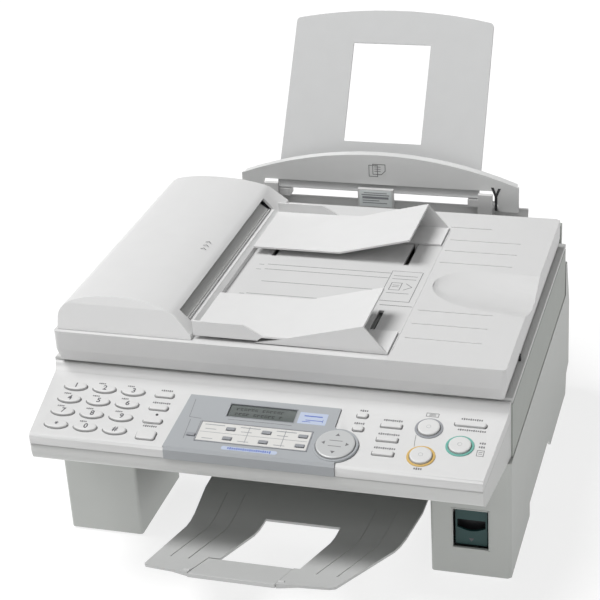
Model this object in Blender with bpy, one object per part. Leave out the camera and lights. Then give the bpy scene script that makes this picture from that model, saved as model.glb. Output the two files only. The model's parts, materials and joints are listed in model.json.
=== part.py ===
"""Flatbed laser fax machine, as an assembly of separate pieces.

Lengths below are millimetres. X runs across the machine, with 0 in the middle of its width.
Y runs front to back, with 0 at the front edge of the document cover. Z is the height over the desk.
`to_world` turns such a point into the model's frame: metres, with the origin under the middle.
"""

import math

import bmesh
import bpy
from mathutils import Matrix, Vector

MM = 0.001
MIDDLE_Y = 171.57  # the middle of the whole machine's length, tray lip to paper support
GAP = 0.4  # running gap between neighbouring pieces
WALL = 3.0

# casing
COVER_HALF = 250.0  # document cover, half width at its seam
BODY_HALF = 258.8  # side covers
SEAM_Z = 221.9  # under the document cover
COVER_TOP = 258.0
COVER_DEPTH = 383.0
SCOOP_LEFT = 136.0
SCOOP_TIP_Y = 183.0
SCOOP_MOUTH_Y = 169.0
SCOOP_HALF = 54.0
SCOOP_STEP = 4.5  # depth gained just inside the tip
SCOOP_FALL = 10.0  # and from there to the mouth
SCOOP_LIP = 0.35  # the cut starts this far above the top face
MAT_TOP = 230.5
BASE_TOP = 149.0  # lower casing meets the top unit
LEG_FRONT = -8.0
LEG_BACK = 117.0
LEG_INNER = 170.2
SOLE_Z = 2.2  # the casing ends just above the desk, the feet reach it
BELLY_Z = 20.0
PAN_FRONT = 118.0
PAN_BACK = 407.0
TOP_FRONT = 6.0  # scanner body, front wall
TOP_BACK = 392.0
SCAN_FLOOR = BASE_TOP + 0.6
SCAN_TOP_LOW = 214.8
SCAN_TOP_HIGH = 221.2

CARRIAGE_RAIL = (175.0, 180.0)  # y, z of the scanner's guide rod

# hinges
LEVER_PIVOT = (1.0, 41.0)  # y, z of the release lever
UNIT_HINGE = (397.0, 240.0)  # y, z of the top unit's pins
COVER_HINGE = (394.0, 242.0)  # y, z of the document cover's pins
ADF_HINGE = (-248.4, 259.7)  # x, z of the feeder cover's pins
PIN_R = 3.0

# control panel: s runs up its slope from the lip, n stands off it
LIP_Y = -102.3
LIP_Z = 185.0
LEDGE_Y = -3.0
SLOPE = math.radians(12.74)
PANEL_THICK = 2.6
LIP_HALF = 246.4
LEDGE_HALF = 255.5
LIP_LOW = 173.2

# paper path
PATH_X = 14.5  # the paper runs a little right of the middle
FRAME_HALF = 165.0  # print engine's frame
DRUM_AXIS = (208.0, 66.0)  # y, z
PICKUP_AXIS = (404.0, 132.0)
JACKS = ((290.0, 306.0), (312.0, 328.0))  # y from and to of the line jacks
SUPPORT_LEAN = math.radians(33.6)
SUPPORT_FOOT = (431.0, 295.0)  # y, z of a point on the support's front face
ARCH_FRONT = 412.0
ARCH_THICK = 4.6
RIM_DEPTH = 12.0
ARCH_HALF = 180.0
ARCH_PIVOT = (414.3, 252.0)

# feeder guides
GUIDE_MID_Y = 170.5
RACK_MODULE = 2.0
PINION_TEETH = 8
PINION_X = 103.0
PRESSURE = math.radians(30)

WHITE = (0.80, 0.80, 0.78)
LIGHT = (0.72, 0.73, 0.71)
SIDE = (0.60, 0.62, 0.60)
GREY = (0.50, 0.51, 0.51)
SILVER = (0.55, 0.60, 0.66)
DARK = (0.06, 0.06, 0.07)
STEEL = (0.62, 0.63, 0.64)
TEAL = (0.10, 0.38, 0.37)
RUBBER = (0.10, 0.10, 0.11)


# ---------------------------------------------------------------- shapes
# A shape is (points, faces) in millimetres.


def to_world(point):
    return Vector((point[0] * MM, (point[1] - MIDDLE_Y) * MM, point[2] * MM))


def stack(rings):
    """A closed solid through rings with the same number of points, capped at both ends."""
    count = len(rings[0])
    points = [p for ring in rings for p in ring]
    faces = [list(range(count)), list(range(len(points) - count, len(points)))]
    for level in range(len(rings) - 1):
        low = level * count
        for i in range(count):
            j = (i + 1) % count
            faces.append([low + i, low + j, low + count + j, low + count + i])
    return points, faces


def prism(outline, low, high, axis):
    """An outline of (a, b) pairs pushed along an axis; a and b are the other two axes in order."""
    place = {
        "x": lambda a, b, c: (c, a, b),
        "y": lambda a, b, c: (a, c, b),
        "z": lambda a, b, c: (a, b, c),
    }[axis]
    return stack([[place(a, b, c) for a, b in outline] for c in (low, high)])


def box(x0, x1, y0, y1, z0, z1):
    return prism([(x0, y0), (x1, y0), (x1, y1), (x0, y1)], z0, z1, "z")


def ring_points(radius_a, radius_b, count, turn=0.0):
    steps = [2 * math.pi * (i + turn) / count for i in range(count)]
    return [(radius_a * math.cos(t), radius_b * math.sin(t)) for t in steps]


def rod(axis, centre, low, high, radius, count=16):
    """A round bar along an axis; centre is its place on the other two axes."""
    outline = [(a + centre[0], b + centre[1]) for a, b in ring_points(radius, radius, count)]
    return prism(outline, low, high, axis)


def rounded(half_a, half_b, radius, steps=2):
    """A rectangle's outline with round corners."""
    points = []
    for corner, (sa, sb) in enumerate(((1, 1), (-1, 1), (-1, -1), (1, -1))):
        for i in range(steps + 1):
            t = math.pi / 2 * (corner + i / steps)
            a = sa * (half_a - radius) + radius * math.cos(t)
            b = sb * (half_b - radius) + radius * math.sin(t)
            points.append((a, b))
    return points


def moved(shape, matrix):
    return [tuple(matrix @ Vector(p)) for p in shape[0]], shape[1]


def group(*shapes):
    """Several shapes as one mesh, for cutters that stay apart."""
    points, faces = [], []
    for some_points, some_faces in shapes:
        shift = len(points)
        points.extend(some_points)
        faces.extend([i + shift for i in face] for face in some_faces)
    return points, faces


def bare_object(name, shape, origin):
    points, faces = shape
    base = to_world(origin)
    mesh = bpy.data.meshes.new(name)
    mesh.from_pydata([to_world(p) - base for p in points], [], faces)
    tidy = bmesh.new()
    tidy.from_mesh(mesh)
    bmesh.ops.recalc_face_normals(tidy, faces=tidy.faces)
    tidy.to_mesh(mesh)
    tidy.free()
    thing = bpy.data.objects.new(name, mesh)
    thing.location = base
    bpy.context.scene.collection.objects.link(thing)
    return thing


def plastic(name, colour, roughness=0.5, metallic=0.0, alpha=1.0):
    material = bpy.data.materials.new(name)
    material.use_nodes = True
    shader = material.node_tree.nodes["Principled BSDF"]
    shader.inputs["Base Color"].default_value = (*colour, 1.0)
    shader.inputs["Roughness"].default_value = roughness
    shader.inputs["Metallic"].default_value = metallic
    shader.inputs["Alpha"].default_value = alpha
    return material


def combine(thing, operation, shape, label):
    """A Boolean step with a hidden tool."""
    tool = bare_object(f"{thing.name}_tool_{label}", shape, (0, 0, 0))
    tool.hide_render = True
    tool.display_type = "WIRE"
    modifier = thing.modifiers.new(f"{operation.lower()}_{label}", "BOOLEAN")
    modifier.operation = operation
    modifier.solver = "EXACT"
    modifier.object = tool


def node(name, first, join=(), cut=(), keep=None, origin=(0, 0, 0), look=(WHITE,), smooth=False):
    """One piece: the first shape with others joined to it, kept inside `keep`, less the cuts."""
    thing = bare_object(name, first, origin)
    thing.data.materials.append(plastic(name, *look))
    steps = [("UNION", shape) for shape in join]
    if keep is not None:
        steps.append(("INTERSECT", keep))
    steps.extend(("DIFFERENCE", shape) for shape in cut)
    for number, (operation, shape) in enumerate(steps):
        combine(thing, operation, shape, str(number))
    if smooth:
        thing.data.shade_smooth()
        thing.data.set_sharp_from_angle(angle=math.radians(40))
    return thing


# ---------------------------------------------------------------- the panel's own frame


def panel_matrix():
    """Takes (x, s, n) on the panel to (x, y, z)."""
    up = Vector((0, math.cos(SLOPE), math.sin(SLOPE)))
    out = Vector((0, -math.sin(SLOPE), math.cos(SLOPE)))
    matrix = Matrix.Identity(4)
    matrix.col[1][0:3] = up
    matrix.col[2][0:3] = out
    matrix.translation = Vector((0, LIP_Y, LIP_Z))
    return matrix


PANEL = panel_matrix()


def on_panel(outline, x, s, low, high):
    shape = prism([(a + x, b + s) for a, b in outline], low, high, "z")
    return moved(shape, PANEL)


def panel_point(x, s, n=0.0):
    return tuple(PANEL @ Vector((x, s, n)))


def half_width(y):
    """The panel narrows towards its lip."""
    share = (y - LIP_Y) / (LEDGE_Y - LIP_Y)
    return LIP_HALF + (LEDGE_HALF - LIP_HALF) * share


def tapered(outline, inset=0.0):
    """An outline in (y, z) pushed across the machine as wide as the panel is there."""
    rings = [[(side * (half_width(y) - inset), y, z) for y, z in outline] for side in (-1, 1)]
    return stack(rings)


# ---------------------------------------------------------------- lower casing


def hold_lever(cover):
    """The right leg's window and the two cheeks that carry the release lever."""
    window = box(195, 234, LEG_FRONT - 2, LEG_FRONT + WALL + 1, 36.5, 86)
    for number, x in enumerate((188.0, 240.0)):
        cheek = box(x, x + 3.0, LEG_FRONT + 1, 6, 35, 47)
        combine(cover, "UNION", cheek, f"cheek_{number}")
    bores = [rod("x", LEVER_PIVOT, x - 1, x + 4, 2.8, 12) for x in (188.0, 240.0)]
    combine(cover, "DIFFERENCE", group(window, *bores), "window")


def lower_casing():
    feet = []
    for side in (-1, 1):
        low, high = sorted((side * 174.0, side * 255.0))
        # the floor of a leg, and a riser behind it up to the belly
        feet.append(box(low, high, LEG_FRONT + 4, PAN_FRONT + WALL, 8, 11))
        feet.append(box(low, high, PAN_FRONT, PAN_FRONT + WALL, 9, BELLY_Z + 2))
        for foot_y in (22.0, 92.0):
            feet.append(rod("z", (side * 214.0, foot_y), 0, 9, 9, 12))
        heel_low, heel_high = sorted((side * 205.0, side * 252.0))
        feet.append(box(heel_low, heel_high, 286, 398, 4, BELLY_Z + 2))
        feet.append(rod("z", (side * 228.0, 342.0), 0, 6, 9, 12))
    feet.append(box(-253, 253, PAN_BACK - WALL, PAN_BACK, BELLY_Z + 1, 35))
    node(
        "base_pan",
        box(-253, 253, PAN_FRONT, PAN_BACK, BELLY_Z, BELLY_Z + WALL),
        join=feet,
        look=(GREY, 0.6),
    )

    side_outline = [
        (LEG_FRONT, SOLE_Z),
        (LEG_BACK, SOLE_Z),
        (LEG_BACK, BELLY_Z),
        (256, BELLY_Z),
        (276, SOLE_Z),
        (404, SOLE_Z),
        (410, 29),
        (430, 35),
        (426.5, 128),
        (403, 192),
        (395, 192),
        (395, BASE_TOP),
        (LEG_FRONT, BASE_TOP),
    ]
    for side, name in ((-1, "left_side_cover"), (1, "right_side_cover")):
        low, high = sorted((side * (BODY_HALF - WALL), side * BODY_HALF))
        plate = prism(side_outline, low, high, "x")
        low, high = sorted((side * LEG_INNER, side * BODY_HALF))
        leg = box(low, high, LEG_FRONT, LEG_BACK, SOLE_Z, BASE_TOP)
        low, high = sorted((side * (LEG_INNER + WALL), side * (BODY_HALF - WALL)))
        hollow = box(low, high, LEG_FRONT + WALL, LEG_BACK - WALL, SOLE_Z - 2, BASE_TOP - WALL)
        # the rear of the hollow leg is open low down, where the pan's floor passes
        doorway = box(low, high, LEG_BACK - 5, LEG_BACK + 5, SOLE_Z - 2, 14)
        cuts = [hollow, doorway]
        thing = node(name, plate, join=[leg], cut=cuts, look=(SIDE, 0.6))
        if side == 1:
            hold_lever(thing)
        else:
            windows = [box(-262, -254, low + 2, high - 2, 63, 74) for low, high in JACKS]
            combine(thing, "DIFFERENCE", group(*windows), "jacks")

    rear_outline = [
        (408.5, 28.9),
        (411, 29.4),
        (430, 35),
        (426.5, 128),
        (402.8, 192.4),
        (400.0, 191.4),
        (423.4, 127.4),
        (426.9, 37.3),
        (408.5, 31.9),
    ]
    brackets = []
    holes = []
    for side in (-1, 1):
        low, high = sorted((side * 238.0, side * 242.0))
        outline = [(401, 186), (404.4, 178), (406, 190), (404, 244.5), (391.5, 244.5), (391.5, 232), (400, 230)]
        brackets.append(prism(outline, low, high, "x"))
        holes.append(rod("x", UNIT_HINGE, low - 1, high + 1, PIN_R + 0.35, 12))
    reach = BODY_HALF - WALL - GAP
    node(
        "rear_cover",
        prism(rear_outline, -reach, reach, "x"),
        join=brackets,
        cut=[group(*holes, box(207, 233, 415, 440, 53, 73))],
        look=(SIDE, 0.6),
    )


# ---------------------------------------------------------------- print engine


def print_engine():
    floor, top, sheet = 24.0, 144.0, 2.0
    outline = [
        (-FRAME_HALF, floor),
        (FRAME_HALF, floor),
        (FRAME_HALF, top),
        (FRAME_HALF - sheet, top),
        (FRAME_HALF - sheet, floor + sheet),
        (-FRAME_HALF + sheet, floor + sheet),
        (-FRAME_HALF + sheet, top),
        (-FRAME_HALF, top),
    ]
    bearings = []
    for axis, radius in ((DRUM_AXIS, 4.3), (PICKUP_AXIS, 3.3)):
        for x in (-FRAME_HALF, FRAME_HALF):
            bearings.append(rod("x", axis, x - 4, x + 4, radius, 12))
    node(
        "engine_frame",
        prism(outline, 126, 414, "y"),
        cut=[group(*bearings), box(-FRAME_HALF - 1, FRAME_HALF + 1, 402, 420, 20, 108)],
        look=(STEEL, 0.35, 0.9),
    )

    node(
        "laser_unit",
        prism([(290, 92), (372, 92), (380, 100), (380, 138), (290, 138)], -120, 120, "x"),
        join=[box(-30, 30, 268, 292, 98, 126)],
        cut=[box(-112, 112, 264, 270, 108, 112)],
        look=(DARK, 0.5),
    )

    cartridge = [(176, 96), (190, 92), (214, 92), (232, 70), (262, 70), (262, 140), (186, 140), (176, 128)]
    node(
        "toner_cartridge",
        prism(cartridge, -140, 140, "x"),
        cut=[box(-150, 150, 222, 258, 140.5, 145)],
        look=(DARK, 0.45),
    )
    node(
        "photo_drum",
        rod("x", DRUM_AXIS, -128, 128, 15, 20),
        join=[rod("x", DRUM_AXIS, -168, 168, 4, 12)],
        origin=(0, *DRUM_AXIS),
        look=((0.05, 0.30, 0.25), 0.15, 0.3),
        smooth=True,
    )
    node(
        "fuser_unit",
        prism([(132, 62), (166, 62), (166, 100), (158, 108), (140, 108), (132, 100)], -150, 150, "x"),
        cut=[box(-130, 130, 128, 170, 76, 80)],
        look=(GREY, 0.5),
    )
    node(
        "pickup_roller",
        rod("x", PICKUP_AXIS, PATH_X - 75, PATH_X + 75, 9, 16),
        join=[rod("x", PICKUP_AXIS, -168, 168, 3, 10)],
        origin=(0, *PICKUP_AXIS),
        look=(RUBBER, 0.8),
        smooth=True,
    )
    board = box(-252, -186, 170, 372, 60, 61.6)
    parts = [
        box(-222, -192, 190, 220, 61, 66),
        box(-246, -226, 200, 260, 61, 72),
        box(-214, -192, 240, 276, 61, 64),
    ]
    sockets = []
    for low, high in JACKS:
        parts.append(box(-254.6, -234, low, high, 61, 76))
        sockets.append(box(-256, -240, low + 3, high - 3, 64, 73))
    node("main_board", board, join=parts, cut=[group(*sockets)], look=((0.05, 0.25, 0.12), 0.5))
    inlet_hole = box(208, 232, 408, 428, 54, 72)
    node(
        "power_supply",
        box(186, 248, 250, 400, 30, 88),
        join=[box(204, 236, 398, 424.6, 50, 76)],
        cut=[inlet_hole],
        look=(STEEL, 0.4, 0.8),
    )


# ---------------------------------------------------------------- paper in


def support_frame():
    """Takes (x, s, n) on the paper support to (x, y, z); n stands out at its front."""
    up = Vector((0, math.sin(SUPPORT_LEAN), math.cos(SUPPORT_LEAN)))
    out = Vector((0, -math.cos(SUPPORT_LEAN), math.sin(SUPPORT_LEAN)))
    matrix = Matrix.Identity(4)
    matrix.col[1][0:3] = up
    matrix.col[2][0:3] = out
    matrix.translation = Vector((PATH_X, *SUPPORT_FOOT))
    return matrix


def arc_over(half, low, rise, steps):
    """Points of a shallow arc from +half to -half, `rise` higher in its middle than `low`."""
    radius = (half * half + rise * rise) / (2 * rise)
    swing = math.asin(half / radius)
    points = []
    for i in range(steps + 1):
        t = swing * (1 - 2 * i / steps)
        points.append((radius * math.sin(t), low + rise - radius * (1 - math.cos(t))))
    return points


def paper_input():
    support = support_frame()
    outline = [(-131.5, -34), (131.5, -34)] + arc_over(129.5, 190, 13, 10)
    plate = moved(prism(outline, -3, 0, "z"), support)
    window = moved(prism([(-50, 30), (51, 30), (51, 159), (-50, 159)], -8, 8, "z"), support)
    node("paper_support", plate, cut=[window], origin=(PATH_X, *SUPPORT_FOOT), look=(LIGHT, 0.45))

    arc = [(x + PATH_X + 1.5, z) for x, z in arc_over(ARCH_HALF, 283, 34, 16)]
    left = PATH_X + 1.5 - ARCH_HALF
    right = PATH_X + 1.5 + ARCH_HALF
    outline = arc + [
        (left, 250),
        (left + 24, 250),
        (left + 30, 277),
        (right - 30, 277),
        (right - 24, 250),
        (right, 250),
    ]
    rim = [(x + PATH_X + 1.5, z) for x, z in arc_over(ARCH_HALF - 3, 283.8, 33.0, 16)]
    rim += [(x, z - 2.6) for x, z in reversed(rim)]
    joined = [prism(rim, ARCH_FRONT + 1, ARCH_FRONT + RIM_DEPTH, "y")]
    for x_low, x_high in ((left + 22, left + 34.5), (right - 34.5, right - 22)):
        joined.append(rod("x", ARCH_PIVOT, x_low, x_high, 2.0, 10))
    node(
        "tension_plate",
        prism(outline, ARCH_FRONT, ARCH_FRONT + ARCH_THICK, "y"),
        join=joined,
        origin=(0, *ARCH_PIVOT),
        look=(GREY, 0.5),
    )

    # hopper: a sloping back, two cheeks, a cross rail and a middle post
    back = [(405.6, 196), (408.8, 196), (428, 246), (428, 250), (424.6, 250), (424.6, 246)]
    cheeks = []
    holes = []
    for x_low, x_high in ((left + 32.0, left + 50), (right - 50, right - 32.0)):
        cheek = [(403.5, 236), (404.5, 274), (410.5, 274), (410.5, 258), (426, 258), (426, 242), (410, 205)]
        cheeks.append(prism(cheek, x_low, x_high, "x"))
    for x_low, x_high in ((left + 31, left + 35.5), (right - 35.5, right - 31)):
        holes.append(rod("x", ARCH_PIVOT, x_low, x_high, 2.4, 10))
    for x_low, x_high in ((left + 45, left + 64), (right - 64, right - 45)):
        cheeks.append(box(x_low, x_high, 411, 426, 255, 264.4))
    rail = box(left - 10, right + 10, 404, 409.5, 238, 246)
    low_rail = box(left - 10, right + 10, 406.5, 412, 205, 213)
    post = box(-8, 38, 404.5, 410.5, 240, 273)
    node(
        "paper_hopper",
        prism(back, left - 10, right + 10, "x"),
        join=[rail, low_rail, *cheeks, post],
        cut=[group(*holes)],
        look=(LIGHT, 0.5),
    )


# ---------------------------------------------------------------- paper out


def paper_output():
    # the tray runs level under the machine, then sweeps up to its lip
    top = [(125.6, 27), (12, 27), (-8, 29.5), (-26, 34.5), (-44, 41.5), (-196, 102)]
    thick = 3.2
    under = [(y + (0.6 if y < 0 else 0), z - thick) for y, z in reversed(top)]
    lip = [(-200.5, 103.2), (-201.5, 98.0), (-199.5, 96.5)]
    profile = top + lip + under
    plan = [(145.5, 130), (145, 66), (113, -185), (108, -190)]
    for i in range(1, 8):
        t = i / 8
        plan.append((108 - 196 * t, -190 - 11.5 * math.sin(math.pi * t)))
    plan += [(-88, -190), (-91, -185), (-117, 66), (-117.5, 130)]
    window = box(-27, 61, -137.5, 16, 0, 200)
    bay = box(-39.5, 54.5, -240, -137.0, 0, 200)
    arms = prism(plan, 10, 160, "z")
    hinge = (-190.0, 97.4)
    tray = node(
        "output_tray",
        prism(profile, -150, 150, "x"),
        keep=arms,
        cut=[window, bay],
        look=(GREY, 0.5),
    )
    for number, (x_low, x_high) in enumerate(((-46, -39.7), (54.7, 61))):
        combine(tray, "UNION", rod("x", hinge, x_low, x_high, 3.2, 12), f"boss_{number}")
    bores = [rod("x", hinge, x_low, x_high, 1.7, 10) for x_low, x_high in ((-44, -38), (53, 59))]
    combine(tray, "DIFFERENCE", group(*bores), "bores")
    slope = math.atan2(102 - 41.5, 196 - 44)
    reach = 60.3
    flap_top = []
    for along in (0.0, reach):
        y = -194.5 + along * math.cos(slope)
        flap_top.append((y, 101.0 - along * math.sin(slope)))
    flap = [
        flap_top[0],
        (-199.5, 102.4),
        (-200.3, 98.2),
        (-196.5, 96.9),
        (flap_top[1][0], flap_top[1][1] - 3.0),
        flap_top[1],
    ]
    node(
        "tray_extension",
        prism(flap, -38.9, 53.9, "x"),
        join=[rod("x", hinge, -43.4, 58.4, 1.3, 10)],
        origin=(0, *hinge),
        look=(GREY, 0.5),
    )


# ---------------------------------------------------------------- release lever


def release_lever():
    plate = box(197, 232, -3.6, -0.6, 38.5, 84.5)
    scoop = [(199.0, 70.5)]
    for i in range(7):
        t = i / 6
        scoop.append((199.0 + 31 * t, 60.5 - 4.5 * math.sin(math.pi * t)))
    scoop.append((230.0, 70.5))
    finger = prism(scoop, -8, 4, "y")
    barrel = rod("x", LEVER_PIVOT, 187, 244, 2.4, 10)
    web = box(199, 230, -1.6, 1.0, 38.6, 43.4)
    node(
        "release_lever",
        plate,
        join=[web, barrel],
        cut=[finger],
        origin=(0, *LEVER_PIVOT),
        look=(TEAL, 0.4),
    )


# ---------------------------------------------------------------- top unit


def top_unit():
    outer = box(-258, 258, TOP_FRONT, TOP_BACK, SCAN_FLOOR, SCAN_TOP_LOW - GAP)
    inner = box(-255, 255, TOP_FRONT + WALL, TOP_BACK - WALL, SCAN_FLOOR + WALL, SCAN_TOP_LOW + 5)
    lugs = []
    for side in (-1, 1):
        low, high = sorted((side * 243.2, side * 252.0))
        outline = [(389.5, 196), (397.2, 196), (401.5, 228), (401.5, 245), (392.6, 245), (392.6, 214.2), (389.5, 214.2)]
        lugs.append(prism(outline, low, high, "x"))
        low, high = sorted((side * 237.0, side * 246.0))
        lugs.append(rod("x", UNIT_HINGE, low, high, PIN_R, 12))
    tub = node("scanner_body", outer, join=lugs, cut=[inner], look=(LIGHT, 0.5))
    combine(tub, "UNION", rod("x", CARRIAGE_RAIL, -256.5, 256.5, 4, 10), "rail")

    plate = box(-258, 258, TOP_FRONT, TOP_BACK, SCAN_TOP_LOW, SCAN_TOP_HIGH)
    glass_hole = box(-172, 136, 62, 288, 200, 230)
    strip_hole = box(-205, -184, 62, 288, 200, 230)
    ears = []
    holes = []
    for side in (-1, 1):
        for x in (212.5, 228.5):
            low, high = sorted((side * x, side * (x + 3.0)))
            outline = [(384.5, 219), (391.8, 219), (399.5, 234), (399.5, 247.5), (388.5, 247.5), (384.5, 239)]
            ears.append(prism(outline, low, high, "x"))
            holes.append(rod("x", COVER_HINGE, low - 1, high + 1, PIN_R + 0.35, 12))
    node(
        "scanner_top",
        plate,
        join=ears,
        cut=[group(glass_hole, strip_hole), group(*holes)],
        look=(LIGHT, 0.5),
    )
    node(
        "scan_glass",
        box(-212, 142, 56, 294, SCAN_TOP_LOW - 3.4, SCAN_TOP_LOW - GAP),
        look=((0.7, 0.8, 0.8), 0.05, 0.0, 0.35),
    )
    carriage = [(-212, 168), (-178, 168), (-178, 200), (-186, 208), (-204, 208), (-212, 200)]
    bore = rod("x", CARRIAGE_RAIL, -220, -170, 4.4, 12)
    lens_slot = box(-197, -193, 66, 284, 204, 212)
    node(
        "scan_carriage",
        prism(carriage, 58, 292, "y"),
        cut=[group(lens_slot, bore)],
        origin=(-195, *CARRIAGE_RAIL),
        look=(DARK, 0.5),
    )


def console():
    plate_rise = Vector((0, math.cos(SLOPE), math.sin(SLOPE)))
    ledge_s = (LEDGE_Y - LIP_Y) / plate_rise.y
    ledge_z = LIP_Z + ledge_s * plate_rise.z
    outer = [
        (LIP_Y, LIP_LOW),
        (LIP_Y, LIP_Z - 2.5),
        (LIP_Y + 2.2, LIP_Z + 0.5),
        (LEDGE_Y, ledge_z),
        (1.0, 215.5),
        (3.0, 217.5),
        (TOP_FRONT - 0.5, 217.5),
        (TOP_FRONT - 0.5, 195.4),
    ]
    t = PANEL_THICK
    inner = [
        (LIP_Y + t, LIP_LOW - 8),
        (LIP_Y + t, LIP_Z - 2.2),
        (LEDGE_Y + 0.8, ledge_z - t),
        (TOP_FRONT - 0.5 - t, 214.6),
        (TOP_FRONT - 0.5 - t, 190),
    ]
    holes = [on_panel(outline, x, s, -8, 8) for _, outline, x, s in key_plan(GAP)]
    opening = moved(prism(bezel_outline(GAP), -12, 8, "z"), PANEL)
    front = [(LIP_Y - 2, LIP_LOW - 3), (LIP_Y + 6, LIP_LOW - 3), (LIP_Y + 6, LIP_Z + 4), (LIP_Y - 2, LIP_Z + 4)]
    mouth = prism(front, -93 - GAP, 93 + GAP, "x")
    node(
        "control_panel",
        tapered(outer),
        cut=[tapered(inner, t), group(*holes), opening, mouth],
        look=(WHITE, 0.5),
    )

    housing = [
        (LIP_Y + 0.6, LIP_LOW - GAP),
        (LIP_Y + 0.6, 163),
        (LIP_Y + 3.0, 155),
        (LIP_Y + 10, 150.2),
        (-30, SCAN_FLOOR),
        (TOP_FRONT - 0.5, SCAN_FLOOR),
        (TOP_FRONT - 0.5, 195.0),
    ]
    inner = [
        (LIP_Y + 3.4, LIP_LOW + 6),
        (LIP_Y + 3.4, 164),
        (LIP_Y + 12, 153.4),
        (-30, SCAN_FLOOR + 3),
        (TOP_FRONT - 3.4, SCAN_FLOOR + 3),
        (TOP_FRONT - 3.4, 205),
    ]
    node("panel_housing", tapered(housing), cut=[tapered(inner, 3.0)], look=(LIGHT, 0.5))


def bezel_outline(grow=0.0):
    """The display surround, in (x, s): straight sides with a round bulge for the scroll key."""
    key_x, key_s = NAV_KEY
    radius = NAV_RADIUS + 3.6 + grow
    points = [(-88 - grow, 84 + grow), (-94 - grow, 5.0), (-94 - grow, 2.2 - grow)]
    points += [(93 + grow, 2.2 - grow), (92.4 + grow, 5.0)]
    start = math.radians(-76)
    end = math.radians(100)
    for i in range(15):
        t = start + (end - start) * i / 14
        points.append((key_x + radius * math.cos(t), key_s + radius * math.sin(t)))
    points += [(80.3 + grow, 56 + grow), (80.3 + grow, 84 + grow)]
    return points


NAV_KEY = (87.4, 29.2)
NAV_RADIUS = 20.8


def key_plan(grow=0.0):
    """Every key that comes through the panel: name, outline, x and s of its middle."""
    keys = []
    digits = ["1", "2", "3", "4", "5", "6", "7", "8", "9", "star", "0", "hash"]
    for i, digit in enumerate(digits):
        column, row = i % 3, i // 3
        outline = ring_points(13.2 + grow, 6.2 + grow, 16, 0.5)
        keys.append((f"key_{digit}", outline, -222 + 33.9 * column, 79.8 - 20.3 * row))
    for row, name in enumerate(("speaker", "redial", "tone", "monitor")):
        half_s = 3.6 if row < 3 else 6.2
        outline = rounded(10.4 + grow, half_s + grow, 3.2 + grow)
        shift = 0.0 if row < 3 else -2.0
        keys.append((f"key_{name}", outline, -117.3, 79.0 - 20.3 * row + shift))
    for row, name in enumerate(("help", "menu")):
        outline = rounded(5.6 + grow, 3.4 + grow, 2.6 + grow)
        keys.append((f"key_{name}", outline, 104.8, 77.6 - 20.2 * row))
    for row, name in enumerate(("auto_answer", "resolution", "broadcast")):
        outline = rounded(11.0 + grow, 3.2 + grow, 1.6 + grow)
        keys.append((f"key_{name}", outline, 138.4, 66.5 - 20.6 * row))
    keys.append(("key_quick_scan", rounded(16.4 + grow, 3.2 + grow, 2.6 + grow), 219.5, 79.5))
    for name, x, s in (("copy", 177.7, 68.6), ("stop", 177.7, 27.2), ("fax_start", 214.2, 47.4)):
        keys.append((f"key_{name}", ring_points(11.6 + grow, 11.6 + grow, 24), x, s))
    return keys


def key_solid(outline, x, s, rise, flange=1.6):
    """A key cap with a flange that keeps it under the panel."""
    middle_a = sum(a for a, _ in outline) / len(outline)
    middle_b = sum(b for _, b in outline) / len(outline)

    def ring(grow, n):
        points = []
        for a, b in outline:
            length = math.hypot(a - middle_a, b - middle_b)
            k = (length + grow) / length
            points.append((x + middle_a + (a - middle_a) * k, s + middle_b + (b - middle_b) * k, n))
        return points

    low = -PANEL_THICK - 3.4
    under = -PANEL_THICK - 0.5
    rings = [ring(flange, low), ring(flange, under), ring(0, under), ring(0, rise - 0.7), ring(-0.9, rise)]
    return moved(stack(rings), PANEL)


def keys():
    for name, outline, x, s in key_plan():
        rise = 2.6 if name not in ("key_copy", "key_stop", "key_fax_start") else 3.2
        node(name, key_solid(outline, x, s, rise), origin=panel_point(x, s), look=(WHITE, 0.4))
    nav = ring_points(NAV_RADIUS, NAV_RADIUS, 28)
    node("key_scroll", key_solid(nav, *NAV_KEY, 4.2, 1.4), origin=panel_point(*NAV_KEY), look=(LIGHT, 0.4))

    # one-touch keys: a bar under the card with a cap for each
    caps = []
    for x in (-28.4, 11.1, 50.9):
        for s in (36.5, 22.3):
            caps.append(on_panel(rounded(4.6, 2.0, 0.8, 1), x, s, -3.6, 3.0))
    caps.append(on_panel(rounded(4.6, 2.0, 0.8, 1), -69.1, 23.4, -3.6, 3.0))
    bar = on_panel([(-74, 19), (56, 19), (56, 40), (-74, 40)], 0, 0, -6.2, -3.2)
    node("station_keys", bar, join=caps, origin=panel_point(0, 29.4), look=(WHITE, 0.4))


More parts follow.
